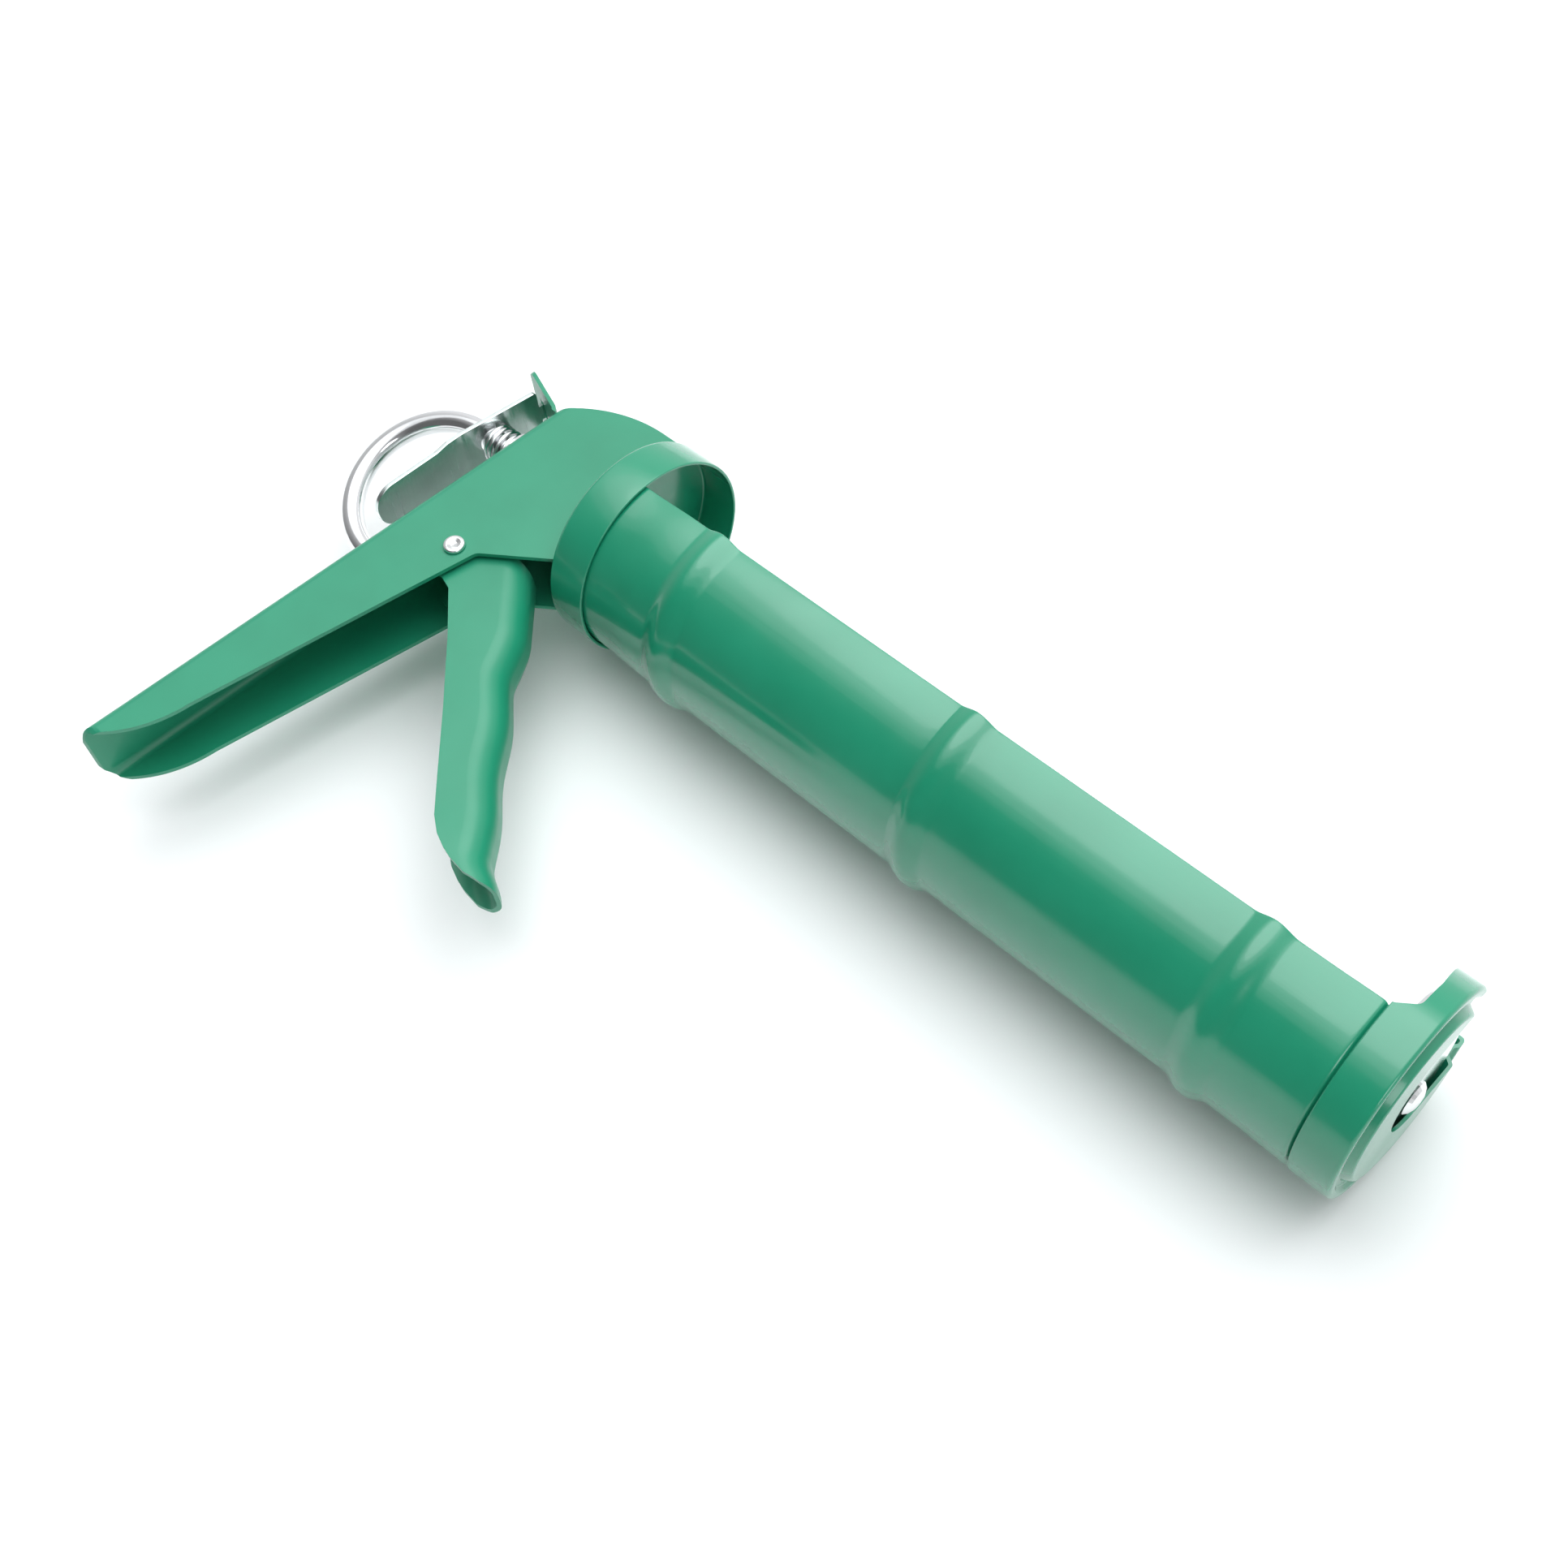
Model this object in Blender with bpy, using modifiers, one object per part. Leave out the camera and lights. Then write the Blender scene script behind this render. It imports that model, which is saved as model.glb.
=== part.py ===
"""Half-round cradle caulking gun, lying on its left side.

Gun axes in millimetres: x runs forward along the barrel from the front lip of the rear
collar, y is the gun's upper side, z is its right side.  The whole assembly is shifted so
that the bottom centre of its box is the origin.
"""
import math

import bmesh
import bpy
from mathutils import Vector

MM = 0.001
DEG = math.pi / 180.0

# ---- shift of the assembly -------------------------------------------------------------
REAR_X = -94.14
FRONT_X = 227.6
LOW_Y = -134.57
HIGH_Y = 27.5
LOW_Z = -28.7
SHIFT = Vector(((REAR_X + FRONT_X) / 2, (LOW_Y + HIGH_Y) / 2, LOW_Z))

# ---- barrel ----------------------------------------------------------------------------
SHEET = 0.9
COLLAR_R = 27.5
COLLAR_LEN = 11.9
COLLAR_T = 0.8
TROUGH_R = 26.95
TROUGH_END_R = 26.35
TROUGH_BACK = -8.5
TROUGH_FRONT = 222.2
TROUGH_EDGE_Y = 0.9
RIB_X = (26.5, 106.8, 187.1)
RIB_HALF = 5.6
RIB_H = 1.75
CAP_FACE = 225.0
CAP_R = 27.5
CAP_T = 0.8
CAP_DEEP = 10.5
CAP_SHALLOW = 7.0
CAP_STEP = 1.3
SLOT_HALF = 12.0
SLOT_Y = 4.0

# ---- frame of the handle -----------------------------------------------------------------
FRAME_W = 21.0
FRAME_T = 1.2
FRAME_BEND = 3.2
BACK_X = -51.5
BACK_Y = 10.0
BACK_TILT = 5.3
FRAME_FRONT = -12.25
FRAME_TOP = 24.7
TOP_ARC_X = -22.0
TOP_ARC_R = 40.8
FRONT_LOW_Y = -21.9
KNEE = (-30.2, -34.0)
FRONT_END = (-49.4, -111.0)
TIP_Y = -134.9
TIP_BULGE = 6.0
EAR_HALF = 10.3
EAR_TIP_X = -67.4
EAR_RISE = 20.0
EAR_SLOT = 2.7
EAR_SLOT_HALF = 3.3

# ---- rod and plunger ---------------------------------------------------------------------
ROD_R = 3.15
ROD_FRONT = 225.0
HOOK_X = -68.5
HOOK_R = 22.6
HOOK_RUN = 4.5
HOOK_LEAN = 15.0
DISC_FRONT = 224.6
DISC_R = 23.4

# ---- trigger -----------------------------------------------------------------------------
PIVOT = (-36.1, -36.0)
TRIGGER_W = 16.4
TRIGGER_T = 1.2
NOSE = (-39.4, -20.0)
NOSE_R = 4.5
GRIP_ANGLE = -46.5
GRIP_END = 98.0
GRIP_ROUND = 6.6
GRIP_HEEL = 18.9
GRIP_WAIST = 16.1
GRIP_TOE = 15.3
WAVE = 0.45
WAVE_LEN = 27.0
WAVE_CREST = 51.0
FLARE = 2.2

# ---- drive and release -------------------------------------------------------------------
DRIVE_X = -34.55
DRIVE_T = 2.4
PLATE_TOP = (-61.8, 16.2)
PLATE_BEND = (-66.6, -8.5)
PLATE_LOW = (-68.8, -37.8)
PLATE_T = 1.3
PLATE_HALF = 7.8
TAB_HALF = 7.0
TONGUE_HALF = 2.4

GREEN = ("green_enamel", (0.045, 0.33, 0.19, 1.0), 0.28, 0.0)
ZINC = ("zinc_plate", (0.66, 0.68, 0.68, 1.0), 0.25, 1.0)
CHROME = ("bright_steel", (0.72, 0.72, 0.73, 1.0), 0.12, 1.0)
SPRING = ("spring_steel", (0.62, 0.62, 0.63, 1.0), 0.3, 1.0)
BRASS = ("dull_steel", (0.45, 0.45, 0.44, 1.0), 0.4, 1.0)

for old in list(bpy.data.objects):
    bpy.data.objects.remove(old, do_unlink=True)

GUN = bpy.data.collections.new("caulking_gun")
bpy.context.scene.collection.children.link(GUN)
TOOLS = bpy.data.collections.new("cutters")
bpy.context.scene.collection.children.link(TOOLS)


# ---- helpers -------------------------------------------------------------------------------
def material(spec):
    name, colour, rough, metal = spec
    found = bpy.data.materials.get(name)
    if found:
        return found
    mat = bpy.data.materials.new(name)
    mat.use_nodes = True
    shader = mat.node_tree.nodes["Principled BSDF"]
    shader.inputs["Base Color"].default_value = colour
    shader.inputs["Roughness"].default_value = rough
    shader.inputs["Metallic"].default_value = metal
    mat.diffuse_color = colour
    return mat


def world(x, y, z=0.0):
    return (Vector((x, y, z)) - SHIFT) * MM


def add(name, mesh, origin, spec=None, smooth=35.0):
    """Object whose mesh is given in gun millimetres, with its own origin."""
    base = Vector(origin)
    for vert in mesh.vertices:
        vert.co = (vert.co - base) * MM
    obj = bpy.data.objects.new(name, mesh)
    obj.location = world(*origin)
    (GUN if spec else TOOLS).objects.link(obj)
    if spec:
        mesh.materials.clear()
        mesh.materials.append(material(spec))
    else:
        obj.hide_render = True
        obj.display_type = "WIRE"
    if smooth:
        shade(obj, smooth)
    return obj


def shade(obj, angle=35.0):
    obj.data.shade_smooth()
    obj.data.set_sharp_from_angle(angle=angle * DEG)


def baked(obj, weld=0.00002):
    """Replace the object's mesh with its evaluated one, welded, and drop the modifiers."""
    bpy.context.view_layer.update()
    graph = bpy.context.evaluated_depsgraph_get()
    mesh = bpy.data.meshes.new_from_object(obj.evaluated_get(graph))
    work = bmesh.new()
    work.from_mesh(mesh)
    bmesh.ops.remove_doubles(work, verts=work.verts, dist=weld)
    work.to_mesh(mesh)
    work.free()
    return mesh


def apply(obj, angle=35.0):
    mesh = baked(obj, 0.000001)
    obj.modifiers.clear()
    obj.data = mesh
    shade(obj, angle)
    return obj


def turned(name, profile, origin, spec=None, steps=48, closed=False):
    """Profile of (x, radius) turned about the barrel's axis; the outer side runs to the rear."""
    mesh = bpy.data.meshes.new(name)
    base = Vector(origin)
    points = [((x - base.x) * MM, r * MM, 0.0) for x, r in profile]
    edges = [(i, i + 1) for i in range(len(points) - 1)]
    if closed:
        edges.append((len(points) - 1, 0))
    mesh.from_pydata(points, edges, [])
    obj = bpy.data.objects.new(name, mesh)
    obj.location = world(*origin)
    (GUN if spec else TOOLS).objects.link(obj)
    screw = obj.modifiers.new("turn", "SCREW")
    screw.axis = "X"
    screw.angle = 2 * math.pi
    screw.screw_offset = 0.0
    screw.steps = steps
    screw.render_steps = steps
    screw.use_merge_vertices = True
    screw.merge_threshold = 0.00001
    apply(obj)
    if spec:
        obj.data.materials.clear()
        obj.data.materials.append(material(spec))
    return obj


def prism(name, loops, low, high, origin, spec=None, plane="xy", smooth=35.0):
    """Closed outlines, the later ones holes, filled and extruded from low to high."""
    curve = bpy.data.curves.new(name + "_outline", "CURVE")
    curve.dimensions = "2D"
    curve.fill_mode = "BOTH"
    curve.extrude = (high - low) / 2
    for loop in loops:
        spline = curve.splines.new("POLY")
        spline.points.add(len(loop) - 1)
        for point, (u, v) in zip(spline.points, loop):
            point.co = (u, v, 0.0, 1.0)
        spline.use_cyclic_u = True
    holder = bpy.data.objects.new(name + "_outline", curve)
    TOOLS.objects.link(holder)
    mesh = baked(holder, 0.0001)
    bpy.data.objects.remove(holder, do_unlink=True)
    middle = (high + low) / 2
    for vert in mesh.vertices:
        u, v, w = vert.co.x, vert.co.y, vert.co.z + middle
        vert.co = {"xy": (u, v, w), "yz": (w, u, v), "zx": (v, w, u)}[plane]
    return add(name, mesh, origin, spec, smooth)


def wire(name, points, radius, origin, spec, around=2):
    curve = bpy.data.curves.new(name + "_path", "CURVE")
    curve.dimensions = "3D"
    curve.fill_mode = "FULL"
    curve.bevel_depth = radius
    curve.bevel_resolution = around
    curve.use_fill_caps = True
    spline = curve.splines.new("POLY")
    spline.points.add(len(points) - 1)
    for point, place in zip(spline.points, points):
        point.co = (*place, 1.0)
    holder = bpy.data.objects.new(name + "_path", curve)
    TOOLS.objects.link(holder)
    mesh = baked(holder, 0.0005)
    bpy.data.objects.remove(holder, do_unlink=True)
    return add(name, mesh, origin, spec, 50.0)


def cut(obj, tool, operation="DIFFERENCE", solver="EXACT"):
    mod = obj.modifiers.new(operation.lower(), "BOOLEAN")
    mod.operation = operation
    mod.solver = solver
    mod.object = tool
    apply(obj)
    bpy.data.objects.remove(tool, do_unlink=True)
    return obj


def box(name, low, high, origin=(0.0, 0.0, 0.0)):
    x0, y0, z0 = low
    x1, y1, z1 = high
    loop = [(x0, y0), (x1, y0), (x1, y1), (x0, y1)]
    return prism(name, [loop], z0, z1, origin)


def rod_cutter(name, radius, x0, x1, y=0.0, z=0.0, steps=24):
    mesh_loop = circle(y, z, radius, steps)
    return prism(name, [mesh_loop], x0, x1, (0.0, 0.0, 0.0), plane="yz")


def circle(u, v, radius, steps=24, start=0.0, turn=360.0):
    count = steps if abs(turn) >= 360.0 else steps + 1
    step = turn / steps
    return [
        (u + radius * math.cos((start + i * step) * DEG), v + radius * math.sin((start + i * step) * DEG))
        for i in range(count)
    ]


def strip(path, thick):
    """Outline of a bent strip that is centred on a path of points in one plane."""
    left = []
    right = []
    for i, point in enumerate(path):
        here = Vector(point)
        ahead = (Vector(path[min(i + 1, len(path) - 1)]) - here).normalized() if i + 1 < len(path) else None
        behind = (here - Vector(path[i - 1])).normalized() if i else None
        along = (ahead or behind) if not (ahead and behind) else (ahead + behind).normalized()
        normal = Vector((-along.y, along.x))
        reach = thick / 2
        if ahead and behind:
            reach /= max(0.5, normal.dot(Vector((-ahead.y, ahead.x))))
        left.append(tuple(here + normal * reach))
        right.append(tuple(here - normal * reach))
    return left + right[::-1]


def lerp(a, b, t):
    return (a[0] + (b[0] - a[0]) * t, a[1] + (b[1] - a[1]) * t)


def bend(corner, before, after, radius, steps=4):
    """Points of a rounded corner between two directions of a path."""
    a = (Vector(before) - Vector(corner)).normalized()
    b = (Vector(after) - Vector(corner)).normalized()
    half = a.angle(b) / 2
    reach = radius / math.tan(half)
    centre = Vector(corner) + (a + b).normalized() * (radius / math.sin(half))
    first = Vector(corner) + a * reach - centre
    last = Vector(corner) + b * reach - centre
    span = math.atan2(first.cross(last), first.dot(last))
    points = []
    for i in range(steps + 1):
        t = span * i / steps
        c, s = math.cos(t), math.sin(t)
        points.append((centre.x + first.x * c - first.y * s, centre.y + first.x * s + first.y * c))
    return points


def rounded(corners, radii, steps=4):
    """Closed outline with each corner rounded by its own radius (0 keeps it sharp)."""
    points = []
    count = len(corners)
    for i, corner in enumerate(corners):
        if radii[i] <= 0:
            points.append(tuple(corner))
        else:
            points += bend(corner, corners[i - 1], corners[(i + 1) % count], radii[i], steps)
    return points


# ---- barrel ----------------------------------------------------------------------------------
cap_seam = CAP_FACE - CAP_DEEP - 0.4


def trough_radius(x):
    start = TROUGH_END_R + (TROUGH_R - TROUGH_END_R) * min(1.0, max(0.0, (x - 3.0) / 14.0))
    end = TROUGH_END_R + (TROUGH_R - TROUGH_END_R) * min(1.0, max(0.0, (CAP_FACE - CAP_DEEP - 0.1 - x) / 1.4))
    radius = min(start, end)
    radius += 0.3 * min(1.0, max(0.0, (x - 203.0) / 8.0)) * (x < cap_seam)
    for rib in RIB_X:
        offset = abs(x - rib) / RIB_HALF
        if offset < 1.0:
            radius += RIB_H * (0.5 + 0.5 * math.cos(math.pi * offset)) ** 0.8
    return radius


stations = [TROUGH_BACK, 3.0, 17.0]
for rib in RIB_X:
    stations += [rib + RIB_HALF * f for f in (-1.0, -0.68, -0.36, 0.0, 0.36, 0.68, 1.0)]
stations = sorted(stations + [203.0, CAP_FACE - CAP_DEEP - 1.5, CAP_FACE - CAP_DEEP - 0.1, TROUGH_FRONT], reverse=True)
outer = [(x, trough_radius(x)) for x in stations]
inner = [(x, trough_radius(x) - SHEET) for x in reversed(stations)]
trough = turned("barrel_trough", outer + inner, (0.0, 0.0, 0.0), GREEN, 48, True)
cut(trough, box("above", (-30.0, TROUGH_EDGE_Y, -40.0), (240.0, 40.0, 40.0)))

cap_back = CAP_FACE - CAP_DEEP
cap_profile = [
    (CAP_FACE + CAP_STEP, 0.0),
    (CAP_FACE + CAP_STEP, 21.0),
    (CAP_FACE + CAP_STEP - 0.5, 22.0),
    (CAP_FACE - 0.9, 23.2),
    (CAP_FACE - 0.9, 24.6),
    (CAP_FACE - 0.1, 25.5),
    (CAP_FACE, 26.3),
    (CAP_FACE - 0.5, 27.2),
    (CAP_FACE - 1.5, CAP_R),
    (cap_back, CAP_R),
    (cap_back, CAP_R - CAP_T),
    (CAP_FACE - 1.9, CAP_R - CAP_T),
    (CAP_FACE - 1.7, 24.6),
    (CAP_FACE - 1.7, 22.8),
    (CAP_FACE + CAP_STEP - CAP_T, 21.0),
    (CAP_FACE + CAP_STEP - CAP_T, 0.0),
]
cap = turned("front_cap", cap_profile, (CAP_FACE, 0.0, 0.0), GREEN, 48)
shallow = CAP_FACE - CAP_SHALLOW
notch = [
    (200.0, 1.2),
    (cap_back + 0.2, 1.2),
    (shallow + 1.2, 4.7),
    (shallow + 1.2, 13.0),
    (shallow, 23.0),
    (shallow, 40.0),
    (200.0, 40.0),
]
cut(cap, prism("notch", [notch], -40.0, 40.0, (0.0, 0.0, 0.0)))
slot = [(40.0, SLOT_HALF)] + circle(SLOT_Y, 0.0, SLOT_HALF, 16, 90.0, 180.0) + [(40.0, -SLOT_HALF)]
cut(cap, prism("slot", [slot], 200.0, 240.0, (0.0, 0.0, 0.0), plane="yz"))

collar_profile = [
    (-0.2, COLLAR_R - 0.15),
    (-0.7, COLLAR_R),
    (2.2 - COLLAR_LEN, COLLAR_R),
    (0.7 - COLLAR_LEN, COLLAR_R - 0.6),
    (0.0 - COLLAR_LEN, COLLAR_R - 2.1),
    (0.0 - COLLAR_LEN, 5.2),
    (COLLAR_T - COLLAR_LEN, 5.2),
    (COLLAR_T - COLLAR_LEN, COLLAR_R - 2.4),
    (1.3 - COLLAR_LEN, COLLAR_R - 1.2),
    (2.4 - COLLAR_LEN, COLLAR_R - COLLAR_T),
    (-0.5, COLLAR_R - COLLAR_T),
    (0.0, COLLAR_R - COLLAR_T + 0.2),
]
turned("rear_collar", collar_profile, (0.0, 0.0, 0.0), GREEN, 48, True)

# ---- handle frame: a sheet folded round its back, with a lug turned rearward at the top -------
tilt = BACK_TILT * DEG
half = FRAME_W / 2
depth = 60.0
outside = rounded([(0.0, -half), (depth, -half), (depth, half), (0.0, half)], [FRAME_BEND, 0, 0, FRAME_BEND])
wall = FRAME_T
inside = rounded(
    [(wall, wall - half), (depth + 5, wall - half), (depth + 5, half - wall), (wall, half - wall)],
    [FRAME_BEND - wall, 0, 0, FRAME_BEND - wall],
)


def frame_block(name, loop, spec=None):
    obj = prism(name, [loop], -170.0, 40.0, (0.0, 0.0, 0.0), spec, plane="yz")
    for vert in obj.data.vertices:
        along, inward, side = vert.co.x, vert.co.y, vert.co.z
        down = -along
        x = BACK_X * MM - down * math.sin(tilt) + inward * math.cos(tilt)
        y = BACK_Y * MM - down * math.cos(tilt) - inward * math.sin(tilt)
        vert.co = (x, y, side)
    obj.data.update()
    return obj


def outward(obj):
    work = bmesh.new()
    work.from_mesh(obj.data)
    bmesh.ops.recalc_face_normals(work, faces=work.faces)
    work.to_mesh(obj.data)
    work.free()
    return obj


frame = outward(frame_block("handle_frame", outside, GREEN))
cut(frame, outward(frame_block("hollow", inside)))

outline = [(FRAME_FRONT, FRONT_LOW_Y), (FRAME_FRONT, FRAME_TOP)]
for i in range(9):
    x = TOP_ARC_X + (BACK_X + 0.4 - TOP_ARC_X) * i / 8
    outline.append((x, FRAME_TOP - TOP_ARC_R + math.sqrt(TOP_ARC_R**2 - (x - TOP_ARC_X) ** 2)))
outline += [(-60.0, 11.5), (-75.0, 11.0), (-80.0, TIP_Y - 1.6), (-66.0, TIP_Y)]
for i in range(7):
    t = i / 6
    mid = (FRONT_END[0] - 2.4, TIP_Y + 9.0)
    a = lerp((-64.0, TIP_Y + 0.6), mid, t)
    b = lerp(mid, FRONT_END, t)
    outline.append(lerp(a, b, t))
outline += bend(KNEE, FRONT_END, (FRAME_FRONT, FRONT_LOW_Y), 2.5, 3)
cut(frame, prism("outline", [outline], -30.0, 30.0, (0.0, 0.0, 0.0)), "INTERSECT")

rise = EAR_RISE * DEG
ear_start = (BACK_X + 0.62 - 6.0 * math.sin(tilt), BACK_Y - 6.0)
ear_corner = (BACK_X + 0.75, BACK_Y + 2.6)
ear_tip = (EAR_TIP_X, ear_corner[1] + (ear_corner[0] - EAR_TIP_X) * math.tan(rise))
ear_path = [ear_start] + bend(ear_corner, ear_start, ear_tip, 2.4, 4) + [ear_tip]
ear = prism("ear", [strip(ear_path, 1.1)], -EAR_HALF, EAR_HALF, (0.0, 0.0, 0.0))
ear_plan = rounded(
    [(EAR_HALF, -40.0), (EAR_HALF, EAR_TIP_X - 0.6), (-EAR_HALF, EAR_TIP_X - 0.6), (-EAR_HALF, -40.0)],
    [0, 4.2, 4.2, 0],
    5,
)
cut(ear, prism("plan", [ear_plan], -10.0, 40.0, (0.0, 0.0, 0.0), plane="zx"), "INTERSECT")
for side in (-1, 1):
    inner, outer = sorted((side * 7.4, side * 12.0))
    cut(ear, box("relief", (-56.0, 0.0, inner), (-48.0, BACK_Y + 2.0, outer)))
cut(frame, ear, "UNION")
tip_loop = [(40.0, 12.0), (40.0, -12.0)]
for t in (-90.0, -75.0, -60.0, -45.0, -30.0, -15.0, 0.0, 15.0, 30.0, 45.0, 60.0, 75.0, 90.0):
    tip_loop.append((TIP_Y - 0.4 + TIP_BULGE * (1.0 - math.cos(t * DEG)), 1.02 * half * math.sin(t * DEG)))
cut(frame, prism("tip", [tip_loop], -95.0, 0.0, (0.0, 0.0, 0.0), plane="yz"), "INTERSECT")
slot_x = PLATE_TOP[0]
cut(frame, box("ear_slot", (slot_x - EAR_SLOT / 2, 8.0, -EAR_SLOT_HALF), (slot_x + EAR_SLOT / 2, 30.0, EAR_SLOT_HALF)))
cut(frame, rod_cutter("rod_hole", ROD_R + 1.0, -70.0, -40.0))
cut(frame, prism("pivot_holes", [circle(*PIVOT, 2.5)], -30.0, 30.0, (0.0, 0.0, 0.0)))

# ---- rod, plunger and bush ----------------------------------------------------------------------
lean = HOOK_LEAN * DEG
path = [(ROD_FRONT, 0.0), (110.0, 0.0)]
path += [(u, v - HOOK_R) for u, v in circle(HOOK_X, 0.0, HOOK_R, 16, 90.0, 180.0)]
path.append((HOOK_X + HOOK_RUN, -2 * HOOK_R))
rod_points = [(x, y * math.cos(lean), y * math.sin(lean)) for x, y in path]
wire("plunger_rod", rod_points, ROD_R, (0.0, 0.0, 0.0), CHROME, 4)

disc = [
    (DISC_FRONT, 3.5),
    (DISC_FRONT, DISC_R - 4.2),
    (DISC_FRONT - 0.5, DISC_R - 3.0),
    (DISC_FRONT - 2.2, DISC_R - 0.6),
    (DISC_FRONT - 3.0, DISC_R),
    (DISC_FRONT - 7.0, DISC_R),
    (DISC_FRONT - 7.0, DISC_R - 1.2),
    (DISC_FRONT - 3.6, DISC_R - 1.2),
    (DISC_FRONT - 1.3, DISC_R - 4.4),
    (DISC_FRONT - 1.3, 3.5),
]
turned("plunger_disc", disc, (DISC_FRONT, 0.0, 0.0), ZINC, 40, True)
back = DISC_FRONT - 1.6
washer = [(back, 3.5), (back, 11.0), (back - 1.6, 11.0), (back - 1.6, 3.5)]
turned("plunger_backing_washer", washer, (DISC_FRONT, 0.0, 0.0), ZINC, 28, True)
ring = [(back - 1.9, 3.45), (back - 1.9, 5.6), (back - 4.9, 5.6), (back - 4.9, 3.45)]
turned("rod_shoulder_ring", ring, (DISC_FRONT, 0.0, 0.0), ZINC, 24, True)
head = [(227.6, 0.0), (227.4, 1.9), (226.8, 3.4), (226.0, 4.2), (225.3, 4.2), (225.3, 0.0)]
turned("rod_end_rivet", head, (DISC_FRONT, 0.0, 0.0), ZINC, 24)

rear = -COLLAR_LEN
bush = [
    (-8.6, 3.6),
    (-8.6, 4.6),
    (-9.0, 4.9),
    (rear - 0.3, 4.9),
    (rear - 0.3, 7.2),
    (rear - 1.4, 7.2),
    (rear - 1.4, 3.6),
]
turned("rod_guide_bush", bush, (0.0, 0.0, 0.0), ZINC, 24, True)

# ---- trigger -------------------------------------------------------------------------------------
grip = GRIP_ANGLE * DEG
along = Vector((math.cos(grip), math.sin(grip)))
across = Vector((-along.y, along.x))
pivot = Vector(PIVOT)


def grip_point(distance, offset):
    return tuple(pivot + along * distance + across * offset)


def smooth(value):
    t = min(1.0, max(0.0, value))
    return t * t * (3 - 2 * t)


def grip_offset(distance):
    """How far the crown of the finger side stands from the lever's long axis."""
    if distance < 0.0:
        return GRIP_HEEL + 6.0 * smooth(-distance / 4.0)
    offset = GRIP_HEEL - (GRIP_HEEL - GRIP_WAIST) * smooth((distance - 23.0) / 15.0)
    offset -= (GRIP_WAIST - GRIP_TOE) * smooth((distance - 38.0) / 50.0)
    wave = WAVE * math.cos(2 * math.pi * (distance - WAVE_CREST) / WAVE_LEN)
    return offset + wave * smooth((distance - 30.0) / 8.0) + FLARE * smooth((distance - 88.0) / 9.0)


def lever_block(name, inset, half_width, radius, spec=None):
    """Solid whose finger side is a rounded crown that follows the finger waves."""
    rows = [-20.0, -4.0, -2.0, 0.0, 8.0, 16.0, 23.0, 26.0, 29.0, 32.0, 35.0]
    rows += [38.0 + 3.375 * i for i in range(15)] + [88.0, 90.5, 93.0, 95.0, 97.0, 110.0]
    levels = [-half_width + radius - radius * math.cos(math.pi / 2 * i / 5) for i in range(6)]
    levels += [-z for z in reversed(levels)]
    verts = []
    faces = []
    for distance in rows:
        for z in levels:
            past = max(0.0, abs(z) - (half_width - radius))
            sag = radius - math.sqrt(max(0.0, radius * radius - past * past))
            verts.append((*grip_point(distance, grip_offset(distance) - inset - sag), z))
        verts.append((*grip_point(distance, -40.0), half_width))
        verts.append((*grip_point(distance, -40.0), -half_width))
    count = len(levels) + 2
    for i in range(len(rows) - 1):
        for j in range(count):
            a, b = i * count + j, i * count + (j + 1) % count
            faces.append((a, b, b + count, a + count))
    faces.append(tuple(range(count)))
    faces.append(tuple(range((len(rows) - 1) * count, len(rows) * count)))
    mesh = bpy.data.meshes.new(name)
    mesh.from_pydata(verts, [], faces)
    return outward(add(name, mesh, (*PIVOT, 0.0), spec))


side = [grip_point(GRIP_END, 26.0), grip_point(GRIP_END, 17.4), grip_point(97.0, 14.1)]
side += [grip_point(94.7, 10.3), grip_point(90.6, 6.8), grip_point(87.6, 4.9), grip_point(84.0, 3.2)]
side += [grip_point(79.0, 2.1), grip_point(70.4, 1.8), grip_point(48.0, 1.2), grip_point(26.4, 0.2)]
side += [grip_point(11.5, -1.0), (-33.2, -43.7), (-38.4, -43.3)]
side += circle(PIVOT[0], PIVOT[1], 7.0, 5, 240.0, -80.0)
side += circle(*NOSE, NOSE_R, 10, 170.0, -220.0)
side += [(-34.4, -27.0), grip_point(3.0, 16.4), grip_point(10.5, 26.0)]
trigger = lever_block("trigger", 0.0, TRIGGER_W / 2, GRIP_ROUND, GREEN)
outline = prism("side", [side, circle(*PIVOT, 2.9)], -20.0, 20.0, (*PIVOT, 0.0))
cut(trigger, outline, "INTERSECT")
cut(trigger, lever_block("core", TRIGGER_T, TRIGGER_W / 2 - TRIGGER_T, GRIP_ROUND - TRIGGER_T))


def turned_pin(name, profile, origin, spec, steps=20, closed=False):
    """Profile of (z, radius) turned about a crosswise axis through the origin point."""
    obj = turned(name, [(z + origin[0], r) for z, r in profile], origin, spec, steps, closed)
    for vert in obj.data.vertices:
        x, y, z = vert.co
        vert.co = (z, y, x)
    obj.data.flip_normals()
    shade(obj)
    return obj


out = FRAME_W / 2
rivet = [
    (out + 0.9, 1.25),
    (out + 1.3, 2.0),
    (out + 0.9, 2.8),
    (out + 0.3, 2.9),
    (out + 0.3, 2.2),
    (-out - 0.3, 2.2),
    (-out - 0.3, 2.9),
    (-out - 0.9, 2.8),
    (-out - 1.3, 2.0),
    (-out - 0.9, 1.25),
]
turned_pin("trigger_pivot_rivet", rivet, (*PIVOT, 0.0), ZINC, 20, True)
inner_half = TRIGGER_W / 2 - TRIGGER_T
gap = (TRIGGER_W / 2 + out - FRAME_T) / 2
for name, side in (("trigger_washer_left", -1), ("trigger_washer_right", 1)):
    ring = [(side * gap + 0.24, 2.6), (side * gap + 0.24, 4.4), (side * gap - 0.24, 4.4), (side * gap - 0.24, 2.6)]
    turned_pin(name, ring, (*PIVOT, 0.0), ZINC, 20, True)
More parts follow.
